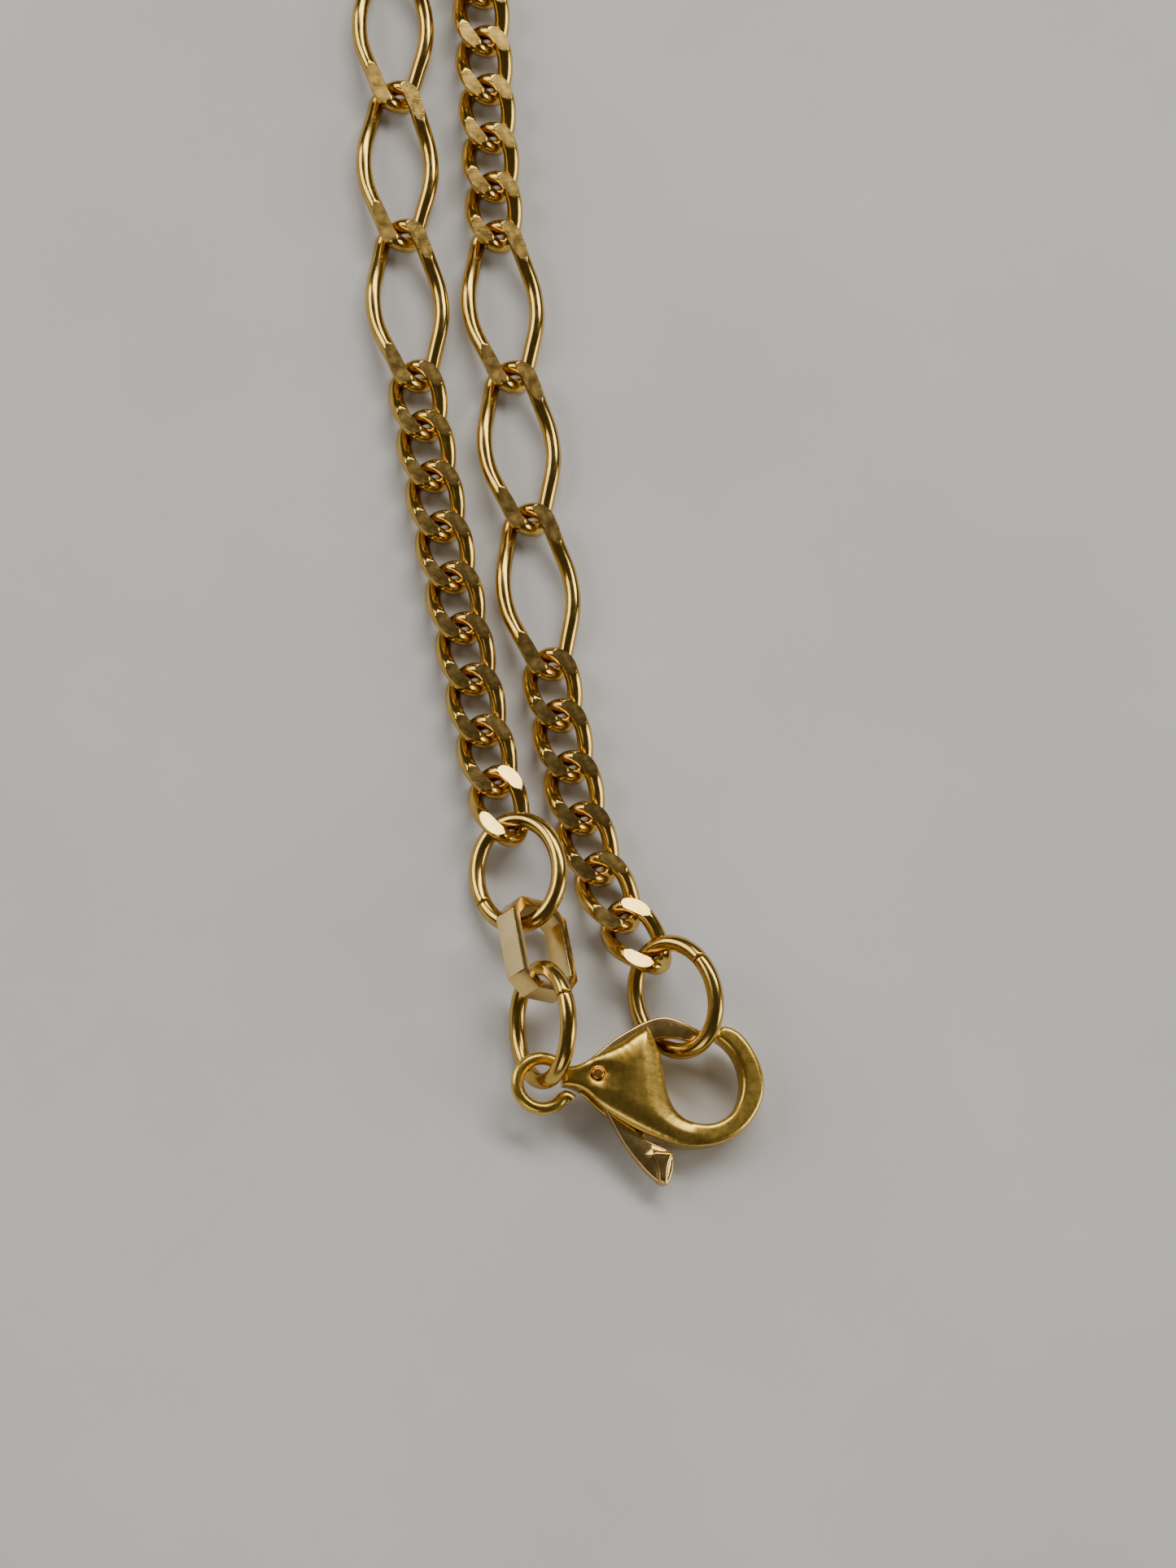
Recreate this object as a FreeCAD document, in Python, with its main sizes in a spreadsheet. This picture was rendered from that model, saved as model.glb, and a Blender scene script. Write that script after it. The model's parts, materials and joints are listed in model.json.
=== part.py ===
# Gold figaro-type curb chain necklace with a lobster clasp, lying fastened on a table.
# Groups of three long marquise links alternate with runs of nine short curb links. Every link is a
# closed loop of wire, twisted so that it lies flat, with flat facets cut on both faces.
# The clasp end is at -Y, the necklace opens into a loop towards +Y, and the table is z = 0.
import FreeCAD, Part
import math
import os

os.makedirs("parts", exist_ok=True)
V = FreeCAD.Vector
doc = FreeCAD.newDocument("ChainNecklace")

# ---------------------------------------------------------------- sizes, all in mm and degrees
SIZES = [
    ("wire_dia", 0.76, "wire of every chain link"),
    ("link_play", 0.14, "end play at each link to link contact"),
    ("curb_pitch", 2.65, "short curb link, pitch along the chain"),
    ("curb_centre_width", 2.12, "short curb link, width on the wire centreline"),
    ("curb_twist", 0.48, "short curb link, rise of the wire above the middle plane"),
    ("long_pitch", 7.5, "long link, pitch along the chain"),
    ("long_centre_width", 3.34, "long link, width on the wire centreline"),
    ("long_twist", 0.55, "long link, rise of the wire above the middle plane"),
    ("long_flank_angle", 17.0, "long link, angle of the straight flank to the chain"),
    ("long_end_radius", 0.85, "long link, radius of the rounded point on the centreline"),
    ("long_twist_power", 2.4, "long link, how close to the ends the twist is"),
    ("facet_thickness", 1.30, "thickness over the two cut faces"),
    ("ring_wire_dia", 0.78, "jump ring wire"),
    ("ring_half_length", 2.675, "jump ring, half length on the centreline"),
    ("ring_half_width", 2.125, "jump ring, half width on the centreline"),
    ("ring_seam_start", 20.7, "jump ring, end of the wire after the seam, ellipse angle"),
    ("ring_seam_end", 379.3, "jump ring, end of the wire before the seam, ellipse angle"),
    ("tag_width", 3.5, "end tag, outside width"),
    ("tag_length", 4.8, "end tag, outside length"),
    ("tag_strip_width", 1.2, "end tag, width of the strip"),
    ("tag_strip_thickness", 0.42, "end tag, thickness of the strip"),
    ("tag_outer_bevel", 0.8, "end tag, corner bevel outside"),
    ("tag_inner_bevel", 0.6, "end tag, corner bevel inside"),
    ("clasp_half_thickness", 1.05, "clasp body, half thickness at its fullest"),
    ("clasp_slot", 0.72, "clasp body, width of the lever slot"),
    ("clasp_edge_round", 0.30, "clasp body, rounding of the edges"),
    ("tail_wire_radius", 0.31, "clasp tail loop, half thickness"),
    ("tail_loop_radius", 1.19, "clasp tail loop, radius on the centreline"),
    ("lever_thickness", 0.56, "lever plate"),
    ("lever_hub_radius", 0.62, "lever, radius round the pin"),
    ("pin_radius", 0.28, "rivet pin"),
    ("pin_running_fit", 0.05, "lever hole radius over the pin"),
    ("pin_hole_fit", 0.01, "body hole radius over the pin"),
    ("pin_half_length", 0.83, "rivet pin, half length"),
    ("spring_wire_radius", 0.08, "lever spring wire"),
]
sheet = doc.addObject("Spreadsheet::Sheet", "Sizes")
for row, (alias, value, note) in enumerate(SIZES, 1):
    sheet.set("A%d" % row, alias)
    sheet.set("B%d" % row, str(value))
    sheet.set("C%d" % row, note)
    sheet.setAlias("B%d" % row, alias)
doc.recompute()


def size(alias):
    return float(sheet.get(alias))


D = size("wire_dia")
PLAY = size("link_play")


# ---------------------------------------------------------------- twisted wire loops
def spline_poles(rows):
    """Control points of the periodic cubic that passes through a closed row of points."""
    out = [V(p) for p in rows]
    n = len(rows)
    for _ in range(45):
        new = []
        for i in range(n):
            f = (out[i - 1] + out[i] * 4 + out[(i + 1) % n]) * (1 / 6.0)
            new.append(out[i] + rows[i] - f)
        out = new
    return out


def closed_tube(path, radius, around=10):
    """Solid wire loop round a closed list of points."""
    n = len(path)
    grid = []
    for i in range(n):
        t = path[(i + 1) % n] - path[i - 1]
        t.normalize()
        a = t.cross(V(0, 0, 1))
        a.normalize()
        b = a.cross(t)
        row = []
        for j in range(around):
            w = 2 * math.pi * j / around
            row.append(path[i] + a * (radius * math.cos(w)) + b * (radius * math.sin(w)))
        grid.append(row)
    grid = [spline_poles(r) for r in grid]
    cols = [spline_poles([grid[i][j] for i in range(n)]) for j in range(around)]
    poles = [[cols[j][i] for j in range(around)] for i in range(n)]
    surf = Part.BSplineSurface()
    surf.buildFromPolesMultsKnots(
        poles, [1] * (n + 1), [1] * (around + 1), list(range(n + 1)), list(range(around + 1)), True, True, 3, 3
    )
    solid = Part.Solid(Part.Shell([surf.toShape()]))
    if solid.Volume < 0:
        solid.reverse()
    return solid


def curb_path(count=32):
    w, l, a = size("curb_centre_width") / 2, (size("curb_pitch") + D + PLAY) / 2, size("curb_twist")
    out = []
    for i in range(count):
        t = 2 * math.pi * i / count
        out.append(V(w * math.cos(t), l * math.sin(t), a * math.sin(2 * t)))
    return out


def long_path(count=56):
    w, l, a = size("long_centre_width") / 2, (size("long_pitch") + D + PLAY) / 2, size("long_twist")
    al, re, pw = math.radians(size("long_flank_angle")), size("long_end_radius"), size("long_twist_power")
    ca, sa, ta = math.cos(al), math.sin(al), math.tan(al)
    rs = ((w - re * ca) - ta * (l - re * (1 - sa))) / ((1 - ca) - ta * sa)
    x1, y1 = w - rs + rs * ca, rs * sa
    x2, y2 = re * ca, l - re + re * sa
    s1, s2, s3 = rs * al, math.hypot(x2 - x1, y2 - y1), re * (math.pi / 2 - al)
    q = s1 + s2 + s3

    def quarter(s):
        if s < s1:
            return w - rs + rs * math.cos(s / rs), rs * math.sin(s / rs)
        if s < s1 + s2:
            k = (s - s1) / s2
            return x1 + (x2 - x1) * k, y1 + (y2 - y1) * k
        u = al + (s - s1 - s2) / re
        return re * math.cos(u), l - re + re * math.sin(u)

    out = []
    for i in range(count):
        s = 4 * q * i / count
        k = int(s / q + 1e-9)
        r = s - k * q
        if k % 2:
            r = q - r
        r = min(max(r, 0.0), q)
        x, y = quarter(r)
        z = a * math.sin(math.pi * (r / q) ** pw)
        if k in (1, 2):
            x = -x
        if k in (2, 3):
            y = -y
        if k % 2:
            z = -z
        out.append(V(x, y, z))
    return out


# ---------------------------------------------------------------- route of the chain over the table
ROUTE_LEFT = [100.5, 101, 100, 99.5, 100, 100, 99, 98.5, 97.5, 94.5, 91.5, 90.5]
ROUTE_RIGHT = [121, 114, 105.5, 101, 100.5, 98.5, 96.5, 95.5, 94.5]
LEFT_FIRST = (-4.41, -1.63)
RIGHT_FIRST = (1.98, -8.15)


def pitch(kind):
    return size("curb_pitch") if kind == "s" else size("long_pitch")


def bump(s, a, b):
    if s <= a:
        return 0.0
    if s >= b:
        return 1.0
    u = (s - a) / (b - a)
    return u - math.sin(2 * math.pi * u) / (2 * math.pi)


def strand(first, kinds, headings):
    h = math.radians(headings[0])
    x = first[0] - pitch(kinds[0]) / 2 * math.cos(h)
    y = first[1] - pitch(kinds[0]) / 2 * math.sin(h)
    out = []
    for k, hd in zip(kinds, headings):
        c, s = math.cos(math.radians(hd)), math.sin(math.radians(hd))
        out.append([k, x + pitch(k) / 2 * c, y + pitch(k) / 2 * s, hd])
        x += pitch(k) * c
        y += pitch(k) * s
    return out, (x, y)


def route():
    """Every link of the closed necklace from the left end to the right end: kind, x, y, heading."""
    left, lend = strand(LEFT_FIRST, ["s"] * 9 + ["L"] * 3, ROUTE_LEFT)
    right, rend = strand(RIGHT_FIRST, ["s"] * 6 + ["L"] * 3, ROUTE_RIGHT)
    mid = (["s"] * 9 + ["L"] * 3) * 7 + ["s"] * 9
    total = sum(pitch(k) for k in mid)
    h0, h1 = 90.5, -87.5

    def middle(flare, centre):
        turn = (h0 - h1) + 2 * flare
        x, y, s, out = lend[0], lend[1], 0.0, []
        for k in mid:
            p = pitch(k)
            m = s + p / 2
            hd = h0 + flare * bump(m, 0, 80) - turn * bump(m, centre - 130, centre + 130) + flare * bump(m, total - 95, total)
            c, sn = math.cos(math.radians(hd)), math.sin(math.radians(hd))
            out.append([k, x + p / 2 * c, y + p / 2 * sn, hd])
            x += p * c
            y += p * sn
            s += p
        return out, x - rend[0], y - rend[1]

    a, c = 34.0, 166.0
    for _ in range(60):
        o, ex, ey = middle(a, c)
        if math.hypot(ex, ey) < 1e-9:
            break
        e = 1e-4
        _o, xa, ya = middle(a + e, c)
        _o, xb, yb = middle(a, c + e)
        j11, j12, j21, j22 = (xa - ex) / e, (xb - ex) / e, (ya - ey) / e, (yb - ey) / e
        det = j11 * j22 - j12 * j21
        a, c = a - (j22 * ex - j12 * ey) / det, c - (-j21 * ex + j11 * ey) / det
    links = left + o
    for k, x, y, hd in reversed(right):
        links.append([k, x, y, hd - 180.0])
    return links


# the whole necklace moved so that its box stands bottom-centre on the origin
SHIFT = V(6.9053, -83.6649, 0)
ROUTE = route()
MID = size("facet_thickness") / 2

# ---------------------------------------------------------------- masters: the two links
def bound_slab(name, length, width):
    """Slab that cuts the two flat faces on a link; its thickness follows the sheet."""
    box = doc.addObject("Part::Box", name)
    box.Length = length
    box.Width = width
    box.setExpression("Height", "Sizes.facet_thickness")
    box.setExpression("Placement.Base.x", "-Length / 2")
    box.setExpression("Placement.Base.y", "-Width / 2")
    box.setExpression("Placement.Base.z", "-Sizes.facet_thickness / 2")
    return box


curb_wire = doc.addObject("Part::Feature", "curb_link_wire")
curb_wire.Shape = closed_tube(curb_path(), D / 2)
long_wire = doc.addObject("Part::Feature", "long_link_wire")
long_wire.Shape = closed_tube(long_path(), D / 2)
curb = doc.addObject("Part::Common", "curb_link_master")
curb.Base, curb.Tool = curb_wire, bound_slab("curb_slab", 6, 8)
lng = doc.addObject("Part::Common", "long_link_master")
lng.Base, lng.Tool = long_wire, bound_slab("long_slab", 8, 14)

# ---------------------------------------------------------------- master: jump ring, an oval of wire with a butted seam
ring_spine = doc.addObject("Part::Ellipse", "ring_spine")
ring_spine.setExpression("MajorRadius", "Sizes.ring_half_length")
ring_spine.setExpression("MinorRadius", "Sizes.ring_half_width")
ring_spine.setExpression("Angle1", "Sizes.ring_seam_start - 90")
ring_spine.setExpression("Angle2", "Sizes.ring_seam_end - 90")
ring_spine.Placement = FreeCAD.Placement(V(0, 0, 0), FreeCAD.Rotation(V(0, 0, 1), 90))
ring_section = doc.addObject("Part::Circle", "ring_section")
ring_section.setExpression("Radius", "Sizes.ring_wire_dia / 2")
_a = math.radians(size("ring_seam_start") - 90)
_p = V(size("ring_half_length") * math.cos(_a), size("ring_half_width") * math.sin(_a), 0)
_t = V(-size("ring_half_length") * math.sin(_a), size("ring_half_width") * math.cos(_a), 0)
_r90 = FreeCAD.Rotation(V(0, 0, 1), 90)
_p, _t = _r90.multVec(_p), _r90.multVec(_t)
ring_section.Placement = FreeCAD.Placement(_p, FreeCAD.Rotation(V(0, 0, 1), _t))
ring = doc.addObject("Part::Sweep", "jump_ring_master")
ring.Sections = [ring_section]
ring.Spine = (ring_spine, ["Edge1"])
ring.Solid = True
ring.Frenet = False

# ---------------------------------------------------------------- master: end tag, a closed bevelled loop of flat strip
tag_outer = doc.addObject("Part::Box", "tag_outer_box")
tag_outer.setExpression("Length", "Sizes.tag_width")
tag_outer.setExpression("Width", "Sizes.tag_length")
tag_outer.setExpression("Height", "Sizes.tag_strip_width")
tag_inner = doc.addObject("Part::Box", "tag_inner_box")
tag_inner.setExpression("Length", "Sizes.tag_width - 2 * Sizes.tag_strip_thickness")
tag_inner.setExpression("Width", "Sizes.tag_length - 2 * Sizes.tag_strip_thickness")
tag_inner.setExpression("Height", "Sizes.tag_strip_width + 2")
for b in (tag_outer, tag_inner):
    b.setExpression("Placement.Base.x", "-Length / 2")
    b.setExpression("Placement.Base.y", "-Width / 2")
    b.setExpression("Placement.Base.z", "-Height / 2")
doc.recompute()


def upright_edges(shape):
    out = []
    for i, e in enumerate(shape.Edges, 1):
        a, b = e.Vertexes[0].Point, e.Vertexes[-1].Point
        if abs(a.x - b.x) < 1e-6 and abs(a.y - b.y) < 1e-6:
            out.append(i)
    return out


def bevelled(name, base, amount):
    ch = doc.addObject("Part::Chamfer", name)
    ch.Base = base
    ch.Edges = [(i, amount, amount) for i in upright_edges(base.Shape)]
    return ch


tag_cut = doc.addObject("Part::Cut", "tag_master")
tag_cut.Base = bevelled("tag_outer_bevelled", tag_outer, size("tag_outer_bevel"))
tag_cut.Tool = bevelled("tag_inner_bevelled", tag_inner, size("tag_inner_bevel"))

# ---------------------------------------------------------------- clasp, drawn flat about its rivet
BODY_TOP = [(-1.62, 0.50), (-1.15, 0.46), (-0.77, 0.52), (-0.02, 0.86), (0.87, 1.25), (1.47, 1.58), (1.97, 1.90), (2.52, 2.18)]
BODY_MOUTH = [(2.52, 2.18), (2.74, 1.80), (2.93, 1.26), (3.13, 0.30), (3.24, -0.68), (3.50, -1.62), (3.98, -2.20), (4.68, -2.47),
              (5.50, -2.46), (6.20, -2.14), (6.66, -1.59), (6.90, -0.91), (6.92, -0.20), (6.75, 0.48), (6.42, 1.03), (6.00, 1.42)]
BODY_TIP = [(6.00, 1.42), (5.86, 1.66), (5.98, 1.96), (6.31, 2.12)]
BODY_OUTER = [(6.31, 2.12), (6.85, 1.92), (7.40, 1.33), (7.83, 0.46), (8.02, -0.40), (7.94, -1.25), (7.55, -2.09), (6.92, -2.82),
              (6.07, -3.33), (5.15, -3.56), (4.34, -3.56), (3.48, -3.40), (2.70, -3.12), (1.89, -2.76), (1.22, -2.37), (0.53, -1.87),
              (-0.03, -1.37), (-0.44, -0.93), (-0.95, -0.62), (-1.62, -0.50)]


def curve(points):
    c = Part.BSplineCurve()
    c.interpolate([V(x, y, 0) for x, y in points])
    return c.toShape()


def plate(wire, half):
    f = Part.Face(wire)
    f.translate(V(0, 0, -half))
    return f.extrude(V(0, 0, 2 * half))


def profile_block(stations, y0, y1):
    """Solid between z = +h(x) and z = -h(x), running in y."""
    up = Part.BSplineCurve()
    up.interpolate([V(x, 0, h) for x, h in stations])
    lo = Part.BSplineCurve()
    lo.interpolate([V(x, 0, -h) for x, h in stations])
    (xa, ha), (xb, hb) = stations[0], stations[-1]
    w = Part.Wire([up.toShape(), Part.makeLine(V(xb, 0, hb), V(xb, 0, -hb)), lo.toShape(), Part.makeLine(V(xa, 0, -ha), V(xa, 0, ha))])
    f = Part.Face(w)
    f.translate(V(0, y0, 0))
    return f.extrude(V(0, y1 - y0, 0))


def swept(points, radius, closed=False):
    c = Part.BSplineCurve()
    c.interpolate([V(*p) for p in points])
    e = c.toShape()
    t = e.tangentAt(e.FirstParameter)
    sec = Part.Wire([Part.makeCircle(radius, V(*points[0]), t)])
    return Part.Wire([e]).makePipeShell([sec], True, False)


ht = size("clasp_half_thickness")
outline = Part.Wire([curve(BODY_TOP), curve(BODY_MOUTH), curve(BODY_TIP), curve(BODY_OUTER), Part.makeLine(V(-1.62, -0.5, 0), V(-1.62, 0.5, 0))])
blank = plate(outline, 2.0)
stations = [(-2.6, 0.36), (-1.6, 0.42), (-0.9, 0.58), (0.0, 0.80), (1.2, ht - 0.03), (2.2, ht), (3.2, ht - 0.12), (4.6, 0.72), (6.2, 0.62), (9.0, 0.56)]
blank = blank.common(profile_block(stations, -6, 6)).Solids[0]


def rounded(shape, radius, test):
    edges = [e for e in shape.Edges if test(e)]
    for r in (radius, radius * 0.8, radius * 0.6, radius * 0.4):
        try:
            out = shape.makeFillet(r, edges)
            if out.isValid() and out.Solids and abs(out.Volume) > 0.5 * shape.Volume:
                return out.Solids[0]
        except Exception:
            pass
    try:
        out = shape.makeChamfer(radius * 0.5, edges)
        if out.isValid() and out.Solids:
            return out.Solids[0]
    except Exception:
        pass
    return shape


def on_faces(e):
    zs = [v.Point.z for v in e.Vertexes]
    return min(zs) > 0.2 or max(zs) < -0.2


blank = rounded(blank, size("clasp_edge_round"), on_faces)
tw, tr = size("tail_wire_radius"), size("tail_loop_radius")
loop_pts = []
for k in range(25):
    a = math.radians(38 + k * (322 - 38) / 24.0)
    loop_pts.append((-2.55 + tr * math.cos(a), -0.28 + tr * math.sin(a), 0))
loop_pts.append((-1.18, -1.13, 0))
blank = blank.fuse(swept(loop_pts, tw)).removeSplitter()
body_blank = doc.addObject("Part::Feature", "clasp_body_blank")
body_blank.Shape = blank

SLOT = [(-0.80, 0.15), (-0.80, 2.2), (3.7, 3.4), (3.7, 0.55), (2.25, 0.42), (0.85, 0.05), (0.95, -0.55), (2.10, -1.95), (2.35, -3.6),
        (-0.9, -3.6), (-0.72, -0.9), (-0.80, -0.3)]
slot_tool = doc.addObject("Part::Polygon", "slot_outline")
slot_tool.Nodes = [V(x, y, 0) for x, y in SLOT]
slot_tool.Close = True
slot = doc.addObject("Part::Extrusion", "slot_cutter")
slot.Base = slot_tool
slot.Dir = V(0, 0, 1)
slot.DirMode = "Custom"
slot.Solid = True
slot.Symmetric = True
slot.setExpression("LengthFwd", "Sizes.clasp_slot")
pin_hole = doc.addObject("Part::Cylinder", "pin_hole_cutter")
pin_hole.setExpression("Radius", "Sizes.pin_radius + Sizes.pin_hole_fit")
pin_hole.Height = 4
pin_hole.Placement = FreeCAD.Placement(V(0, 0, -2), FreeCAD.Rotation())
cutters = doc.addObject("Part::MultiFuse", "clasp_body_cutters")
cutters.Shapes = [slot, pin_hole]
clasp_cut = doc.addObject("Part::Cut", "clasp_body_master")
clasp_cut.Base, clasp_cut.Tool = body_blank, cutters

# lever: gate along the top of the mouth, hub on the rivet, thumb tab below the body
GATE_OUT = [(-0.45, 0.62), (0.10, 1.02), (0.90, 1.62), (1.93, 2.20), (2.83, 2.58), (3.50, 2.68), (4.16, 2.50), (4.73, 2.20), (5.30, 1.93), (5.66, 1.83)]
GATE_IN = [(5.66, 1.42), (5.09, 1.36), (4.40, 1.52), (3.79, 1.68), (3.10, 1.66), (2.2, 1.34), (1.3, 0.92), (0.62, 0.40)]
TAB_IN = [(0.62, 0.40), (0.55, -0.55), (0.95, -1.35), (1.62, -2.40), (2.05, -2.98), (2.55, -3.30), (3.42, -3.80)]
TAB_END = [(3.42, -3.80), (3.38, -4.60), (3.02, -5.34)]
TAB_OUT = [(3.02, -5.34), (2.52, -5.05), (1.95, -4.45), (1.36, -3.62), (0.78, -2.55), (0.15, -1.25), (-0.35, -0.62)]
hub = Part.Arc(V(-0.35, -0.62, 0), V(-0.68, 0.0, 0), V(-0.45, 0.62, 0)).toShape()
lever_outline = Part.Wire([curve(GATE_OUT), Part.makeLine(V(5.66, 1.83, 0), V(5.66, 1.42, 0)), curve(GATE_IN), curve(TAB_IN), curve(TAB_END), curve(TAB_OUT), hub])
lt = size("lever_thickness")
lever_blank = plate(lever_outline, lt / 2)
lever_blank = rounded(lever_blank, 0.1, lambda e: abs(abs(e.Vertexes[0].Point.z) - lt / 2) < 1e-6 and abs(abs(e.Vertexes[-1].Point.z) - lt / 2) < 1e-6)
pad_wire = Part.Wire([Part.Arc(V(2.38, -3.72, 0), V(2.62, -4.52, 0), V(2.62, -5.14, 0)).toShape(), Part.makeLine(V(2.62, -5.14, 0), V(3.02, -5.34, 0)),
                      Part.Arc(V(3.02, -5.34, 0), V(3.10, -4.52, 0), V(3.42, -3.80, 0)).toShape(), Part.makeLine(V(3.42, -3.80, 0), V(2.38, -3.72, 0))])
pad = plate(pad_wire, 0.48)
pad = rounded(pad, 0.12, lambda e: True)
lever_shape = lever_blank.fuse(pad).removeSplitter()
lever_feature = doc.addObject("Part::Feature", "lever_blank")
lever_feature.Shape = lever_shape
lever_hole = doc.addObject("Part::Cylinder", "lever_hole_cutter")
lever_hole.setExpression("Radius", "Sizes.pin_radius + Sizes.pin_running_fit")
lever_hole.Height = 4
lever_hole.Placement = FreeCAD.Placement(V(0, 0, -2), FreeCAD.Rotation())
lever_cut = doc.addObject("Part::Cut", "clasp_lever_master")
lever_cut.Base, lever_cut.Tool = lever_feature, lever_hole

# rivet: straight shank with a slightly domed end on each face
pin_shank = doc.addObject("Part::Cylinder", "pin_shank")
pin_shank.setExpression("Radius", "Sizes.pin_radius")
pin_shank.setExpression("Height", "2 * Sizes.pin_half_length")
pin_shank.setExpression("Placement.Base.z", "-Sizes.pin_half_length")
doc.recompute()
pin_round = doc.addObject("Part::Fillet", "pin_master")
pin_round.Base = pin_shank
pin_round.Edges = [(i, 0.09, 0.09) for i, e in enumerate(pin_shank.Shape.Edges, 1) if len(e.Vertexes) == 1]

# lever spring: a small V of wire in the pocket between the gate arm and the pocket floor
spring_pts = [(2.15, 1.12, 0), (1.75, 0.93, 0), (1.35, 0.72, 0), (1.05, 0.50, 0), (0.98, 0.36, 0), (1.08, 0.27, 0), (1.40, 0.34, 0), (1.80, 0.45, 0), (2.15, 0.55, 0)]
spring_feature = doc.addObject("Part::Feature", "spring_master")
spring_feature.Shape = swept(spring_pts, size("spring_wire_radius"))
doc.recompute()

# ---------------------------------------------------------------- placing every piece
def turned(x, y, z, heading, roll=0.0, tilt=0.0):
    """Local +Y along the heading (degrees from +X); roll lifts local +X, tilt lifts local +Y."""
    r = FreeCAD.Rotation(V(0, 0, 1), heading - 90.0)
    r = r.multiply(FreeCAD.Rotation(V(1, 0, 0), tilt))
    r = r.multiply(FreeCAD.Rotation(V(0, 1, 0), -roll))
    return FreeCAD.Placement(V(x, y, z) + SHIFT, r)


NODES = []


def node(name, shape, placement):
    ob = doc.addObject("Part::Feature", name)
    ob.Label = name
    ob.Shape = shape
    ob.Placement = placement
    NODES.append(ob)
    return ob


# the clasp is held just above the table by the two jump rings that pass through its tail loop and its mouth
CLASP_TURN = FreeCAD.Rotation(V(0, 0, 1), 3.9211).multiply(FreeCAD.Rotation(V(0, 1, 0), 3.7454)).multiply(FreeCAD.Rotation(V(1, 0, 0), 6.6358))
CLASP = FreeCAD.Placement(V(-0.2468, -15.0583, 1.6141) + SHIFT, CLASP_TURN)
node("clasp_body", clasp_cut.Shape.copy(), CLASP)
node("clasp_lever", lever_cut.Shape.copy(), CLASP)
node("lever_pin", pin_round.Shape.copy(), CLASP)
node("lever_spring", spring_feature.Shape.copy(), CLASP)
node("tail_jump_ring", ring.Shape.copy(), turned(-2.7492, -12.8085, 2.3069, 94.4536, 63.9544, 2.8759))
node("left_jump_ring", ring.Shape.copy(), turned(-3.6665, -5.0754, 1.5581, 99.3268 + 180, -31.7446, 6.8480))
node("right_jump_ring", ring.Shape.copy(), turned(3.6379, -11.1895, 1.8512, 110.0098, 42.3288, -5.7534))
node("end_tag", tag_cut.Shape.copy(), turned(-2.8903, -9.0000, 1.9020, 98.1688, -36.6859, -7.3183))


def link_shape(kind):
    return curb.Shape.copy() if kind == "s" else lng.Shape.copy()


# the last two links of each strand are lifted towards the jump ring: x, y, z, heading, roll, tilt
LIFTED = {
    0: (-4.4146, -1.6051, 0.9853, 100.5, -1.9944, -11.0129),
    1: (-4.9044, 0.9739, 0.6978, 101.0, -0.5234, -1.4931),
    len(ROUTE) - 2: (0.7581, -5.8025, 0.7520, 114.0, -0.4194, -2.6983),
    len(ROUTE) - 1: (1.9620, -8.1193, 1.1063, 121.0, -1.6569, -12.7525),
}


def link_place(i):
    """Link i lies flat; its heading is turned so that +Y points away from the clasp on both strands."""
    if i in LIFTED:
        return turned(*LIFTED[i])
    k, x, y, hd = ROUTE[i]
    return turned(x, y, MID, hd + 180.0 if i > len(ROUTE) / 2 else hd)


GROUPS = []


def single(name, i):
    node(name, link_shape(ROUTE[i][0]), link_place(i))
    GROUPS.append((name, [i]))


def grouped(name, idx):
    solids = []
    for i in idx:
        s = link_shape(ROUTE[i][0])
        s.Placement = link_place(i)
        solids.append(s)
    node(name, Part.makeCompound(solids), FreeCAD.Placement())
    GROUPS.append((name, list(idx)))


N = len(ROUTE)
for i in range(9):
    single("curb_link_left_%d" % (i + 1), i)
for i in range(3):
    single("long_link_left_%d" % (i + 1), 9 + i)
for i in range(6):
    single("curb_link_right_%d" % (i + 1), N - 1 - i)
for i in range(3):
    single("long_link_right_%d" % (i + 1), N - 7 - i)
for i in range(6):
    single("curb_link_right_%d" % (i + 7), N - 10 - i)
# beyond the single links, the links lie in rows between the lines on which the necklace folds, and then the far loop
ROWS = [
    ("row_7_left_curb_links", [12, 13, 14, 15, 16, 17]),
    ("row_7_right_long_link", [95]),
    ("row_7_right_curb_links", [96, 97, 98]),
    ("row_8_left_curb_links", [18, 19, 20]),
    ("row_8_left_long_link", [21]),
    ("row_8_right_long_links", [93, 94]),
    ("row_9_left_long_links", [22, 23]),
    ("row_9_left_curb_link", [24]),
    ("row_9_right_curb_links", [86, 87, 88, 89, 90, 91, 92]),
    ("row_10_left_curb_links", [25, 26, 27, 28, 29, 30, 31, 32]),
    ("row_10_left_long_links", [33, 34]),
    ("row_10_right_curb_links", [78, 79, 80, 84, 85]),
    ("row_10_right_long_links", [81, 82, 83]),
    ("row_11_left_long_link", [35]),
    ("row_11_left_curb_links", [36, 37, 38]),
    ("row_11_right_curb_links", [73, 74, 75, 76, 77]),
    ("far_curb_links_1", [39, 40, 41, 42, 43, 44]),
    ("far_long_links_1", [45, 46, 47]),
    ("far_curb_links_2", [48, 49, 50, 51, 52, 53, 54, 55, 56]),
    ("far_long_links_2", [57, 58, 59]),
    ("far_curb_links_3", [60, 61, 62, 63, 64, 65, 66, 67, 68, 72]),
    ("far_long_links_3", [69, 70, 71]),
]
for name, idx in ROWS:
    grouped(name, idx)
placed = sorted(i for _name, idx in GROUPS for i in idx)
if placed != list(range(N)):
    raise RuntimeError("every link belongs to one node: %d of %d placed" % (len(placed), N))

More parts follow.
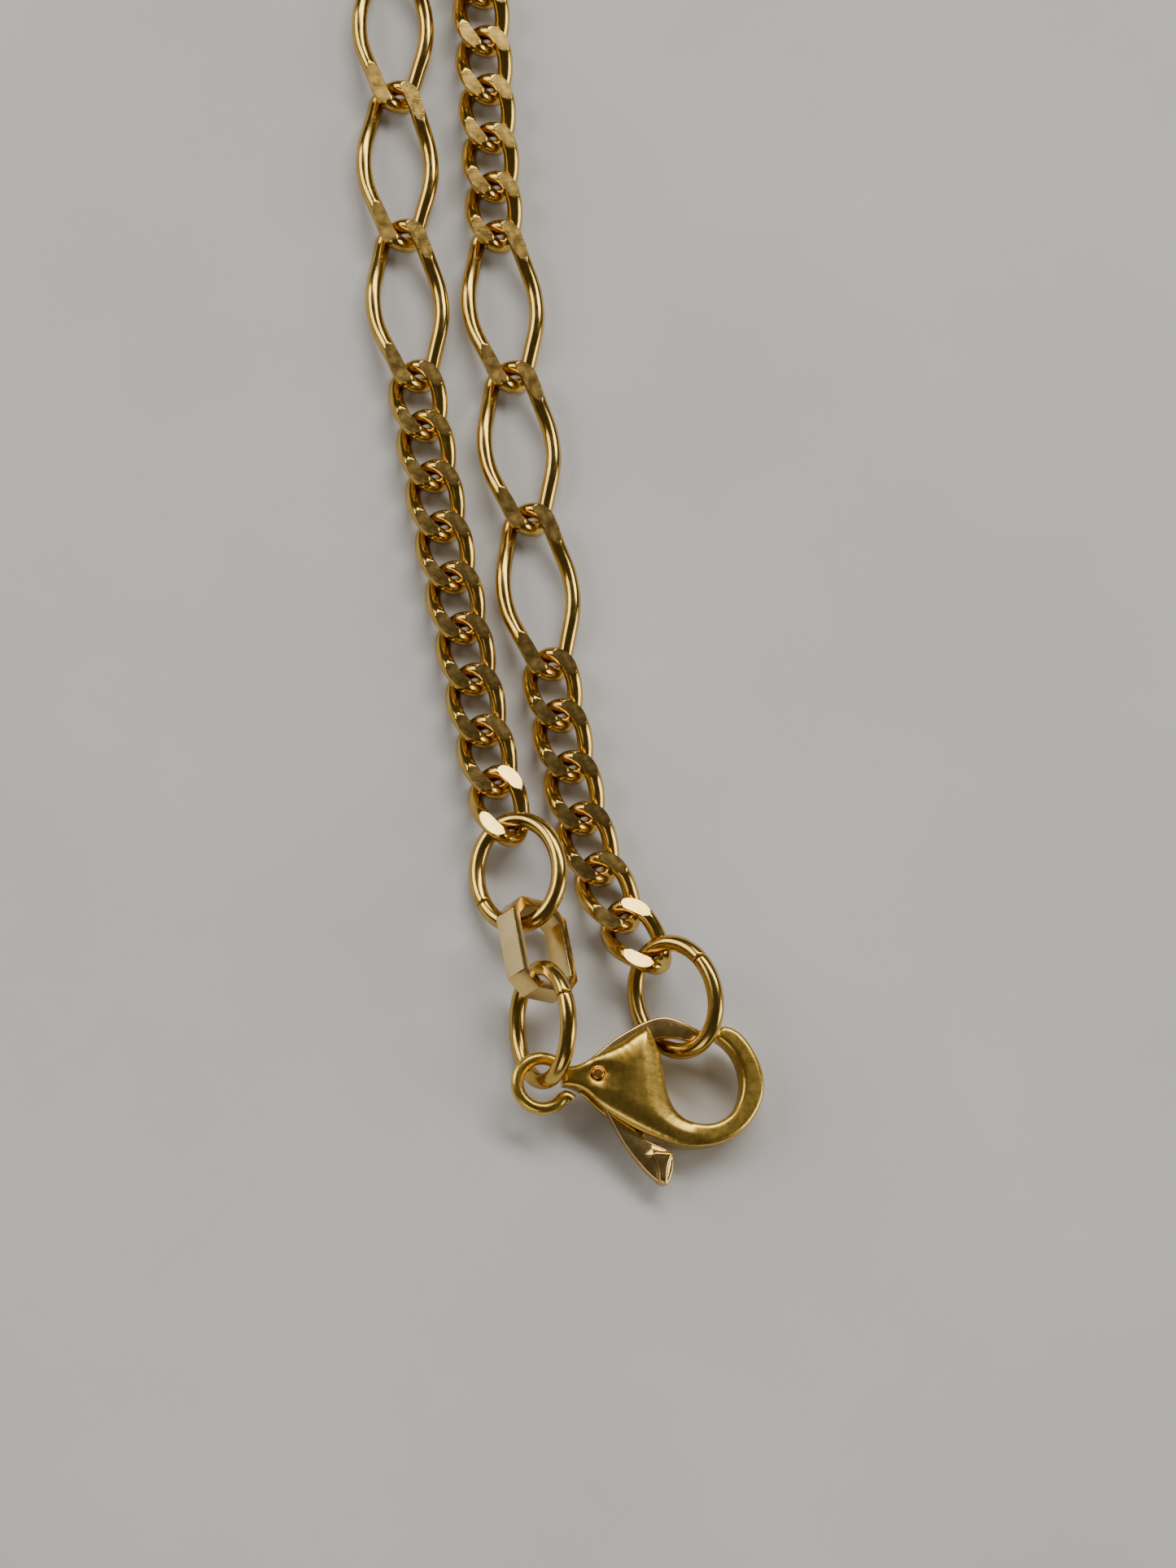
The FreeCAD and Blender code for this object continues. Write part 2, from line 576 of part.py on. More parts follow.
# ---------------------------------------------------------------- checks, then export
doc.recompute()
for ob in doc.Objects:
    if "Invalid" in ob.State or "Error" in ob.State:
        raise RuntimeError("feature %s is in state %s" % (ob.Name, ob.State))
    if hasattr(ob, "Shape"):
        if ob.Shape.isNull() or not ob.Shape.isValid():
            raise RuntimeError("shape of %s is null or not valid" % ob.Name)
for ob in NODES:
    if not ob.Shape.Solids:
        raise RuntimeError("no solid in %s" % ob.Label)
for ob in NODES:
    ob.Shape.exportStep(os.path.join("parts", ob.Label + ".step"))
box = FreeCAD.BoundBox()
for ob in NODES:
    box.add(ob.Shape.BoundBox)
print("nodes", len(NODES), "links", N, "box", box)
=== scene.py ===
import json
import math

import bmesh
import bpy
import numpy as np
from mathutils import Matrix, Vector
from mathutils.kdtree import KDTree


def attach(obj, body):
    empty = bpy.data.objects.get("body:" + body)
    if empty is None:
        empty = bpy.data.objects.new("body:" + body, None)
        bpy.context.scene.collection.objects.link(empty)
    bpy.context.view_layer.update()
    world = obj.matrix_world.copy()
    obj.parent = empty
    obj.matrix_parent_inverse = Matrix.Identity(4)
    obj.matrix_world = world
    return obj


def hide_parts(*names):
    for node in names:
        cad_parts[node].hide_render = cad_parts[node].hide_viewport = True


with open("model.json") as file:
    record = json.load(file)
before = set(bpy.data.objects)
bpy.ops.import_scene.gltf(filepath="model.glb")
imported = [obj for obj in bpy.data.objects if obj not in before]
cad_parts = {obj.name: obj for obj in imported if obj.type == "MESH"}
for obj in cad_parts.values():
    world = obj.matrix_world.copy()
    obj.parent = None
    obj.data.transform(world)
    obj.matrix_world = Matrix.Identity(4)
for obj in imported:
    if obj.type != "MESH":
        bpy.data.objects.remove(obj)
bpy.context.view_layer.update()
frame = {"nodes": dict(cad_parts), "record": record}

MM = 0.001
SHIFT = np.array([6.9053, -83.6649, 0.0])
D, PLAY = 0.76, 0.14
PITCH = {"s": 2.65, "L": 7.5}
FACET = 0.65
WIRE_R = D / 2

# ---------------------------------------------------------------- route, the same as the CAD part's
ROUTE_LEFT = [100.5, 101, 100, 99.5, 100, 100, 99, 98.5, 97.5, 94.5, 91.5, 90.5]
ROUTE_RIGHT = [121, 114, 105.5, 101, 100.5, 98.5, 96.5, 95.5, 94.5]
LEFT_FIRST = (-4.41, -1.63)
RIGHT_FIRST = (1.98, -8.15)


def bump_step(s, a, b):
    if s <= a:
        return 0.0
    if s >= b:
        return 1.0
    u = (s - a) / (b - a)
    return u - math.sin(2 * math.pi * u) / (2 * math.pi)


def strand(first, kinds, headings):
    h = math.radians(headings[0])
    x = first[0] - PITCH[kinds[0]] / 2 * math.cos(h)
    y = first[1] - PITCH[kinds[0]] / 2 * math.sin(h)
    out = []
    for k, hd in zip(kinds, headings):
        c, s = math.cos(math.radians(hd)), math.sin(math.radians(hd))
        out.append([k, x + PITCH[k] / 2 * c, y + PITCH[k] / 2 * s, hd])
        x += PITCH[k] * c
        y += PITCH[k] * s
    return out, (x, y)


def route():
    left, lend = strand(LEFT_FIRST, ["s"] * 9 + ["L"] * 3, ROUTE_LEFT)
    right, rend = strand(RIGHT_FIRST, ["s"] * 6 + ["L"] * 3, ROUTE_RIGHT)
    mid = (["s"] * 9 + ["L"] * 3) * 7 + ["s"] * 9
    total = sum(PITCH[k] for k in mid)
    h0, h1 = 90.5, -87.5

    def middle(flare, centre):
        turn = (h0 - h1) + 2 * flare
        x, y, s, out = lend[0], lend[1], 0.0, []
        for k in mid:
            p = PITCH[k]
            m = s + p / 2
            hd = h0 + flare * bump_step(m, 0, 80) - turn * bump_step(m, centre - 130, centre + 130) + flare * bump_step(m, total - 95, total)
            c, sn = math.cos(math.radians(hd)), math.sin(math.radians(hd))
            out.append([k, x + p / 2 * c, y + p / 2 * sn, hd])
            x += p * c
            y += p * sn
            s += p
        return out, x - rend[0], y - rend[1]

    a, c = 34.0, 166.0
    for _ in range(60):
        o, ex, ey = middle(a, c)
        if math.hypot(ex, ey) < 1e-9:
            break
        e = 1e-4
        _o, xa, ya = middle(a + e, c)
        _o, xb, yb = middle(a, c + e)
        j11, j12, j21, j22 = (xa - ex) / e, (xb - ex) / e, (ya - ey) / e, (yb - ey) / e
        det = j11 * j22 - j12 * j21
        a, c = a - (j22 * ex - j12 * ey) / det, c - (-j21 * ex + j11 * ey) / det
    links = left + o
    for k, x, y, hd in reversed(right):
        links.append([k, x, y, hd - 180.0])
    return links


ROUTE = route()
N = len(ROUTE)
LIFTED = {
    0: (-4.4146, -1.6051, 0.9853, 100.5, -1.9944, -11.0129),
    1: (-4.9044, 0.9739, 0.6978, 101.0, -0.5234, -1.4931),
    N - 2: (0.7581, -5.8025, 0.7520, 114.0, -0.4194, -2.6983),
    N - 1: (1.9620, -8.1193, 1.1063, 121.0, -1.6569, -12.7525),
}
RINGS = {
    "tail_jump_ring": (-2.7492, -12.8085, 2.3069, 94.4536, 63.9544, 2.8759),
    "left_jump_ring": (-3.6665, -5.0754, 1.5581, 99.3268 + 180, -31.7446, 6.8480),
    "right_jump_ring": (3.6379, -11.1895, 1.8512, 110.0098, 42.3288, -5.7534),
}
TAG = (-2.8903, -9.0000, 1.9020, 98.1688, -36.6859, -7.3183)
CLASP = ((-0.2468, -15.0583, 1.6141), (6.6358, 3.7454, 3.9211))


def rot(axis, deg):
    return np.array(Matrix.Rotation(math.radians(deg), 3, axis))


def turned(x, y, z, heading, roll=0.0, tilt=0.0):
    """Rotation and place: local +Y along the heading; roll lifts local +X, tilt lifts local +Y."""
    r = rot("Z", heading - 90.0) @ rot("X", tilt) @ rot("Y", -roll)
    return r, np.array([x, y, z]) + SHIFT


def link_place(i):
    if i in LIFTED:
        return turned(*LIFTED[i])
    k, x, y, hd = ROUTE[i]
    return turned(x, y, FACET, hd + 180.0 if i > N / 2 else hd)


def matrix(place):
    r, t = place
    m = Matrix.Identity(4)
    for i in range(3):
        for j in range(3):
            m[i][j] = float(r[i][j])
        m[i][3] = float(t[i]) * MM
    return m


# ---------------------------------------------------------------- materials
def new_material(name):
    m = bpy.data.materials.new(name)
    m.use_nodes = True
    nt = m.node_tree
    for n in list(nt.nodes):
        nt.nodes.remove(n)
    out = nt.nodes.new("ShaderNodeOutputMaterial")
    sh = nt.nodes.new("ShaderNodeBsdfPrincipled")
    nt.links.new(sh.outputs[0], out.inputs[0])
    return m, nt, sh


def mm_coords(nt, scale):
    tc = nt.nodes.new("ShaderNodeTexCoord")
    mp = nt.nodes.new("ShaderNodeMapping")
    mp.inputs["Scale"].default_value = [v / MM for v in scale]
    nt.links.new(tc.outputs["Object"], mp.inputs["Vector"])
    return mp.outputs["Vector"]


def noise(nt, scale, detail=3.0, rough=0.55, size=1.0, distort=0.0):
    n = nt.nodes.new("ShaderNodeTexNoise")
    n.inputs["Scale"].default_value = size
    n.inputs["Detail"].default_value = detail
    n.inputs["Roughness"].default_value = rough
    n.inputs["Distortion"].default_value = distort
    nt.links.new(mm_coords(nt, scale), n.inputs["Vector"])
    return n.outputs["Fac"]


def ranged(nt, fac, lo, hi, a=0.3, b=0.7):
    r = nt.nodes.new("ShaderNodeMapRange")
    r.inputs["From Min"].default_value = a
    r.inputs["From Max"].default_value = b
    r.inputs["To Min"].default_value = lo
    r.inputs["To Max"].default_value = hi
    nt.links.new(fac, r.inputs["Value"])
    return r.outputs["Result"]


def gold(name, light, deep, rough, spread, scratch=0.25, scratch_scale=(3, 30, 3), grain=None, blotch=0.9):
    m, nt, sh = new_material(name)
    sh.inputs["Metallic"].default_value = 1.0
    sh.inputs["IOR"].default_value = 1.5
    mix = nt.nodes.new("ShaderNodeMix")
    mix.data_type = "RGBA"
    mix.inputs["A"].default_value = [*deep, 1]
    mix.inputs["B"].default_value = [*light, 1]
    nt.links.new(ranged(nt, noise(nt, (blotch, blotch, blotch), 3.0), 0.0, 1.0), mix.inputs["Factor"])
    nt.links.new(mix.outputs["Result"], sh.inputs["Base Color"])
    nt.links.new(ranged(nt, noise(nt, (2.2, 2.2, 2.2), 5.0, 0.7), rough - spread, rough + spread), sh.inputs["Roughness"])
    b = nt.nodes.new("ShaderNodeBump")
    b.inputs["Strength"].default_value = scratch
    b.inputs["Distance"].default_value = 4e-6
    nt.links.new(noise(nt, scratch_scale, 4.0, 0.65), b.inputs["Height"])
    last = b
    if grain:
        g = nt.nodes.new("ShaderNodeBump")
        g.inputs["Strength"].default_value = grain[1]
        g.inputs["Distance"].default_value = grain[2]
        nt.links.new(noise(nt, (grain[0],) * 3, 3.0, 0.7), g.inputs["Height"])
        nt.links.new(b.outputs["Normal"], g.inputs["Normal"])
        last = g
    nt.links.new(last.outputs["Normal"], sh.inputs["Normal"])
    return m


LIGHT, DEEP = (0.72, 0.48, 0.12), (0.50, 0.31, 0.06)
WIRE = gold("chain_wire_gold", LIGHT, DEEP, 0.17, 0.05, 0.22, (5, 5, 5))
FACE = gold("chain_facet_gold", (0.66, 0.45, 0.14), (0.48, 0.30, 0.08), 0.15, 0.05, 0.35, (2.0, 26, 2.0))
RING = gold("ring_wire_gold", LIGHT, DEEP, 0.19, 0.05, 0.3, (6, 6, 6))
SATIN = gold("clasp_satin_gold", (0.78, 0.53, 0.12), (0.62, 0.40, 0.07), 0.28, 0.05, 0.3, (4, 22, 4), grain=(42, 0.35, 4e-6))
POLISH = gold("lever_polished_gold", (0.90, 0.64, 0.24), (0.76, 0.50, 0.16), 0.22, 0.05, 0.3, (6, 20, 6))
RIVET = gold("rivet_gold", (0.95, 0.50, 0.14), (0.85, 0.42, 0.10), 0.24, 0.05)
TAGGOLD = gold("tag_polished_gold", (0.86, 0.62, 0.24), (0.70, 0.46, 0.15), 0.2, 0.05, 0.3, (6, 18, 6))
STIPPLE = gold("tag_stippled_gold", (0.93, 0.74, 0.38), (0.80, 0.60, 0.27), 0.36, 0.06, 0.2, (8, 8, 8), grain=(14, 0.9, 5e-5))
STEEL = gold("spring_wire_steel", (0.55, 0.52, 0.46), (0.42, 0.40, 0.36), 0.3, 0.05)


# ---------------------------------------------------------------- meshes
def curb_path(count):
    w, l, a = 1.06, (PITCH["s"] + D + PLAY) / 2, 0.48
    t = 2 * np.pi * np.arange(count) / count
    return np.c_[w * np.cos(t), l * np.sin(t), a * np.sin(2 * t)]


def long_path(count):
    w, l, a = 1.67, (PITCH["L"] + D + PLAY) / 2, 0.55
    al, re, pw = math.radians(17.0), 0.85, 2.4
    ca, sa, ta = math.cos(al), math.sin(al), math.tan(al)
    rs = ((w - re * ca) - ta * (l - re * (1 - sa))) / ((1 - ca) - ta * sa)
    x1, y1 = w - rs + rs * ca, rs * sa
    x2, y2 = re * ca, l - re + re * sa
    s1, s2, s3 = rs * al, math.hypot(x2 - x1, y2 - y1), re * (math.pi / 2 - al)
    q = s1 + s2 + s3

    def quarter(s):
        if s < s1:
            return w - rs + rs * math.cos(s / rs), rs * math.sin(s / rs)
        if s < s1 + s2:
            k = (s - s1) / s2
            return x1 + (x2 - x1) * k, y1 + (y2 - y1) * k
        u = al + (s - s1 - s2) / re
        return re * math.cos(u), l - re + re * math.sin(u)

    out = []
    for i in range(count):
        s = 4 * q * i / count
        k = int(s / q + 1e-9)
        r = s - k * q
        if k % 2:
            r = q - r
        r = min(max(r, 0.0), q)
        x, y = quarter(r)
        z = a * math.sin(math.pi * (r / q) ** pw)
        if k in (1, 2):
            x = -x
        if k in (2, 3):
            y = -y
        if k % 2:
            z = -z
        out.append((x, y, z))
    p = np.array(out)
    for _ in range(3):
        p = (np.roll(p, 1, 0) + 2 * p + np.roll(p, -1, 0)) / 4
    return p


def link_arrays(path, side=12, flat=5):
    """Twisted wire loop with the two faces cut flat; vertices stand exactly on the edges of the cut."""
    n = len(path)
    t = np.roll(path, -1, 0) - np.roll(path, 1, 0)
    t /= np.linalg.norm(t, axis=1)[:, None]
    a = np.cross(t, [0, 0, 1.0])
    a /= np.linalg.norm(a, axis=1)[:, None]
    b = np.cross(a, t)
    verts, cut = [], []
    lim = math.radians(84)
    for i in range(n):
        bz, z0 = b[i, 2], path[i, 2]
        wt = math.asin(min(1.0, max(-1.0, (FACET - z0) / (bz * WIRE_R))))
        wb = math.asin(min(1.0, max(-1.0, (FACET + z0) / (bz * WIRE_R))))
        cut.append((wt < lim, wb < lim))
        wt, wb = min(wt, lim), min(wb, lim)
        ang = list(np.linspace(wt, math.pi - wt, flat))
        ang += list(np.linspace(math.pi - wt, math.pi + wb, side + 1)[1:-1])
        ang += list(np.linspace(math.pi + wb, 2 * math.pi - wb, flat))
        ang += list(np.linspace(2 * math.pi - wb, 2 * math.pi + wt, side + 1)[1:-1])
        ang = np.array(ang)
        p = path[i] + WIRE_R * (np.cos(ang)[:, None] * a[i] + np.sin(ang)[:, None] * b[i])
        p[:, 2] = np.clip(p[:, 2], -FACET, FACET)
        verts.append(p)
    m = len(verts[0])
    faces, mats = [], []
    bot0 = flat + side - 1
    for i in range(n):
        k = (i + 1) % n
        for j in range(m):
            j2 = (j + 1) % m
            faces.append((i * m + j, i * m + j2, k * m + j2, k * m + j))
            top = j < flat - 1 and cut[i][0] and cut[k][0]
            low = bot0 <= j < bot0 + flat - 1 and cut[i][1] and cut[k][1]
            mats.append(1 if top or low else 0)
    return np.concatenate(verts), np.array(faces), np.array(mats)


def make_mesh(name, verts, faces, mats, materials, sharp=32):
    me = bpy.data.meshes.new(name)
    me.from_pydata([tuple(v) for v in verts * MM], [], [tuple(int(q) for q in f) for f in faces])
    for m in materials:
        me.materials.append(m)
    me.polygons.foreach_set("material_index", np.array(mats, np.int32))
    me.polygons.foreach_set("use_smooth", np.ones(len(me.polygons), bool))
    me.update()
    me.validate()
    bm = bmesh.new()
    bm.from_mesh(me)
    bmesh.ops.recalc_face_normals(bm, faces=bm.faces)
    bm.to_mesh(me)
    bm.free()
    me.set_sharp_from_angle(angle=math.radians(sharp))
    return me


def show(name, me, place, body, slot, *nodes):
    ob = bpy.data.objects.new(name, me)
    bpy.context.scene.collection.objects.link(ob)
    if place is not None:
        ob.matrix_world = matrix(place)
    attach(ob, body)
    if nodes:
        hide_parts(*nodes)
    return ob


BODY_OF = {}
for b, ns in frame["record"]["behaviour"]["bodies"].items():
    for n in ns:
        BODY_OF[n] = b

SHORT = link_arrays(curb_path(112), 12, 5)
LONG = link_arrays(long_path(208), 12, 5)
SHORT_FAR = link_arrays(curb_path(64), 8, 4)
LONG_FAR = link_arrays(long_path(112), 8, 4)
SHORT_MESH = make_mesh("curb_link_mesh", *SHORT, [WIRE, FACE])
LONG_MESH = make_mesh("long_link_mesh", *LONG, [WIRE, FACE])

singles = {}
for i in range(9):
    singles["curb_link_left_%d" % (i + 1)] = i
for i in range(3):
    singles["long_link_left_%d" % (i + 1)] = 9 + i
for i in range(6):
    singles["curb_link_right_%d" % (i + 1)] = N - 1 - i
for i in range(3):
    singles["long_link_right_%d" % (i + 1)] = N - 7 - i
for i in range(6):
    singles["curb_link_right_%d" % (i + 7)] = N - 10 - i
for name, i in singles.items():
    show("look_" + name, SHORT_MESH if ROUTE[i][0] == "s" else LONG_MESH, link_place(i), BODY_OF[name], "chain_gold", name)

ROWS = {
    "row_7_left_curb_links": [12, 13, 14, 15, 16, 17],
    "row_7_right_long_link": [95],
    "row_7_right_curb_links": [96, 97, 98],
    "row_8_left_curb_links": [18, 19, 20],
    "row_8_left_long_link": [21],
    "row_8_right_long_links": [93, 94],
    "row_9_left_long_links": [22, 23],
    "row_9_left_curb_link": [24],
    "row_9_right_curb_links": [86, 87, 88, 89, 90, 91, 92],
    "row_10_left_curb_links": [25, 26, 27, 28, 29, 30, 31, 32],
    "row_10_left_long_links": [33, 34],
    "row_10_right_curb_links": [78, 79, 80, 84, 85],
    "row_10_right_long_links": [81, 82, 83],
    "row_11_left_long_link": [35],
    "row_11_left_curb_links": [36, 37, 38],
    "row_11_right_curb_links": [73, 74, 75, 76, 77],
    "far_curb_links_1": [39, 40, 41, 42, 43, 44],
    "far_long_links_1": [45, 46, 47],
    "far_curb_links_2": [48, 49, 50, 51, 52, 53, 54, 55, 56],
    "far_long_links_2": [57, 58, 59],
    "far_curb_links_3": [60, 61, 62, 63, 64, 65, 66, 67, 68, 72],
    "far_long_links_3": [69, 70, 71],
}
for name, idx in ROWS.items():
    vs, fs, ms, base = [], [], [], 0
    for i in idx:
        v, f, mt = SHORT_FAR if ROUTE[i][0] == "s" else LONG_FAR
        r, t = link_place(i)
        vs.append(v @ r.T + t)
        fs.append(f + base)
        ms.append(mt)
        base += len(v)
    me = make_mesh(name + "_mesh", np.concatenate(vs), np.concatenate(fs), np.concatenate(ms), [WIRE, FACE])
    show("look_" + name, me, None, BODY_OF[name], "chain_gold", name)


def tube_arrays(path, radii, around=28):
    """Open round wire with closed ends."""
    n = len(path)
    t = np.gradient(path, axis=0)
    t /= np.linalg.norm(t, axis=1)[:, None]
    up = np.array([0, 0, 1.0])
    verts = []
    for i in range(n):
        a = np.cross(t[i], up)
        a /= np.linalg.norm(a)
        b = np.cross(a, t[i])
        w = 2 * np.pi * np.arange(around) / around
        verts.append(path[i] + radii[i] * (np.cos(w)[:, None] * a + np.sin(w)[:, None] * b))
    verts = np.concatenate(verts)
    faces = []
    for i in range(n - 1):
        for j in range(around):
            j2 = (j + 1) % around
            faces.append((i * around + j, i * around + j2, (i + 1) * around + j2, (i + 1) * around + j))
    faces.append(tuple(range(around)))
    faces.append(tuple((n - 1) * around + j for j in reversed(range(around))))
    return verts, faces


def ring_mesh():
    """Oval of round wire, cut square at a butted seam with slightly rounded rims."""
    ph = np.radians(np.linspace(20.75, 379.25, 150))
    p = np.c_[2.125 * np.cos(ph), 2.675 * np.sin(ph), 0 * ph]
    t0, t1 = p[1] - p[0], p[-1] - p[-2]
    t0, t1 = t0 / np.linalg.norm(t0), t1 / np.linalg.norm(t1)
    p = np.concatenate([[p[0]], [p[0] + t0 * 0.02], [p[0] + t0 * 0.05], p[1:-1], [p[-1] - t1 * 0.05], [p[-1] - t1 * 0.02], [p[-1]]])
    r = np.full(len(p), 0.39)
    r[0] = r[-1] = 0.35
    r[1] = r[-2] = 0.38
    v, f = tube_arrays(p, r, 32)
    return make_mesh("jump_ring_mesh", v, f, np.zeros(len(f)), [RING], 40)


RING_MESH = ring_mesh()
for name, q in RINGS.items():
    show("look_" + name, RING_MESH, turned(*q), BODY_OF[name], "ring_gold", name)


def tag_mesh():
    """Closed bevelled loop of flat strip, stippled on one long outer face."""
    def loop(w, l, c):
        w, l = w / 2, l / 2
        return [(w, -l + c), (w, l - c), (w - c, l), (-w + c, l), (-w, l - c), (-w, -l + c), (-w + c, -l), (w - c, -l)]

    o, q, h = loop(3.5, 4.8, 0.8), loop(3.5 - 0.84, 4.8 - 0.84, 0.6), 0.6
    verts = [(x, y, z) for pts in (o, q) for z in (-h, h) for x, y in pts]
    faces, mats = [], []
    for j in range(8):
        k = (j + 1) % 8
        faces.append((j, k, 8 + k, 8 + j))
        mats.append(1 if j == 4 else 0)
        faces.append((16 + k, 16 + j, 24 + j, 24 + k))
        mats.append(0)
        faces.append((8 + j, 8 + k, 24 + k, 24 + j))
        mats.append(0)
        faces.append((k, j, 16 + j, 16 + k))
        mats.append(0)
    me = make_mesh("end_tag_mesh", np.array(verts), np.array(faces), mats, [TAGGOLD, STIPPLE], 25)
    bm = bmesh.new()
    bm.from_mesh(me)
    bmesh.ops.bevel(bm, geom=list(bm.edges), offset=0.05 * MM, segments=3, profile=0.6, affect="EDGES", clamp_overlap=True)
    bm.to_mesh(me)
    bm.free()
    me.polygons.foreach_set("use_smooth", np.ones(len(me.polygons), bool))
    me.set_sharp_from_angle(angle=math.radians(30))
    return me


show("look_end_tag", tag_mesh(), turned(*TAG), BODY_OF["end_tag"], "stippled_gold", "end_tag")

# ---------------------------------------------------------------- clasp: the cast pieces keep the CAD surface, welded and smoothed
CR = rot("Z", CLASP[1][2]) @ rot("Y", CLASP[1][1]) @ rot("X", CLASP[1][0])
CLASP_PLACE = (CR, np.array(CLASP[0]) + SHIFT)
CLASP_INV = matrix(CLASP_PLACE).inverted()


def domed(me):
    """The cast body worn round at its edges: an even mesh of the same solid, its two faces domed in from the outline."""
    me.transform(Matrix.Scale(1 / MM, 4))
    me.update()
    pts = []
    for f in me.polygons:
        if abs(f.normal.z) > 0.35:
            continue
        vs = [me.vertices[i].co for i in f.vertices]
        for a, b in zip(vs, vs[1:] + vs[:1]):
            if abs(a.z) > 0.6 and abs(b.z) > 0.6 and a.z * b.z > 0:
                n = max(1, int((b - a).length / 0.08))
                pts += [(a.x + (b.x - a.x) * i / n, a.y + (b.y - a.y) * i / n, 0) for i in range(n)]
    tree = KDTree(len(pts))
    for i, q in enumerate(pts):
        tree.insert(q, i)
    tree.balance()
    ob = bpy.data.objects.new("dome_source", me)
    bpy.context.scene.collection.objects.link(ob)
    mod = ob.modifiers.new("even", "REMESH")
    mod.mode, mod.voxel_size = "VOXEL", 0.055
    bpy.context.view_layer.update()
    out = bpy.data.meshes.new_from_object(ob.evaluated_get(bpy.context.evaluated_depsgraph_get()))
    bpy.data.objects.remove(ob)
    bm = bmesh.new()
    bm.from_mesh(out)
    for v in bm.verts:
        z = abs(v.co.z)
        if z > 0.56 and pts:
            u = min(tree.find((v.co.x, v.co.y, 0))[2] / 1.15, 1.0)
            g = 0.12 + 0.88 * math.sqrt(1 - (1 - u) ** 2)
            v.co.z = math.copysign(0.56 + (z - 0.56) * g, v.co.z)
    for _ in range(4):
        bmesh.ops.smooth_vert(bm, verts=bm.verts, factor=0.4, use_axis_x=True, use_axis_y=True, use_axis_z=True)
    bm.to_mesh(out)
    bm.free()
    out.transform(Matrix.Scale(MM, 4))
    out.name = "clasp_body_look"
    return out


def cast_piece(node, material, slot, sharp):
    me = frame["nodes"][node].data.copy()
    me.name = node + "_look"
    bm = bmesh.new()
    bm.from_mesh(me)
    bmesh.ops.remove_doubles(bm, verts=bm.verts, dist=1e-7)
    bmesh.ops.recalc_face_normals(bm, faces=bm.faces)
    bm.to_mesh(me)
    bm.free()
    me.transform(CLASP_INV)
    if node == "clasp_body":
        me = domed(me)
    me.materials.clear()
    me.materials.append(material)
    me.polygons.foreach_set("material_index", np.zeros(len(me.polygons), np.int32))
    me.polygons.foreach_set("use_smooth", np.ones(len(me.polygons), bool))
    me.set_sharp_from_angle(angle=math.radians(sharp))
    return show("look_" + node, me, CLASP_PLACE, BODY_OF[node], slot, node)


cast_piece("clasp_body", SATIN, "satin_gold", 42)
cast_piece("clasp_lever", POLISH, "polished_gold", 38)
cast_piece("lever_pin", RIVET, "polished_gold", 38)
cast_piece("lever_spring", STEEL, "spring_wire", 50)

# ---------------------------------------------------------------- table, light, camera
FOCUS = Vector(SHIFT * MM)


def floor():
    me = bpy.data.meshes.new("table_mesh")
    s = 2.2
    me.from_pydata([(-s, -s, 0), (s, -s, 0), (s, s, 0), (-s, s, 0)], [], [(0, 1, 2, 3)])
    ob = bpy.data.objects.new("table", me)
    bpy.context.scene.collection.objects.link(ob)
    ob.location = (0, 0, -0.00002)
    m, nt, sh = new_material("pale_table")
    sh.inputs["Roughness"].default_value = 0.75
    mix = nt.nodes.new("ShaderNodeMix")
    mix.data_type = "RGBA"
    mix.inputs["A"].default_value = (0.62, 0.62, 0.61, 1)
    mix.inputs["B"].default_value = (0.68, 0.68, 0.67, 1)
    nt.links.new(ranged(nt, noise(nt, (0.05, 0.05, 0.05), 4.0), 0.0, 1.0), mix.inputs["Factor"])
    nt.links.new(mix.outputs["Result"], sh.inputs["Base Color"])
    me.materials.append(m)


floor()
E = Vector((0.374, 0.927, 0)).normalized()
RIGHT = Vector((E.y, -E.x, 0))


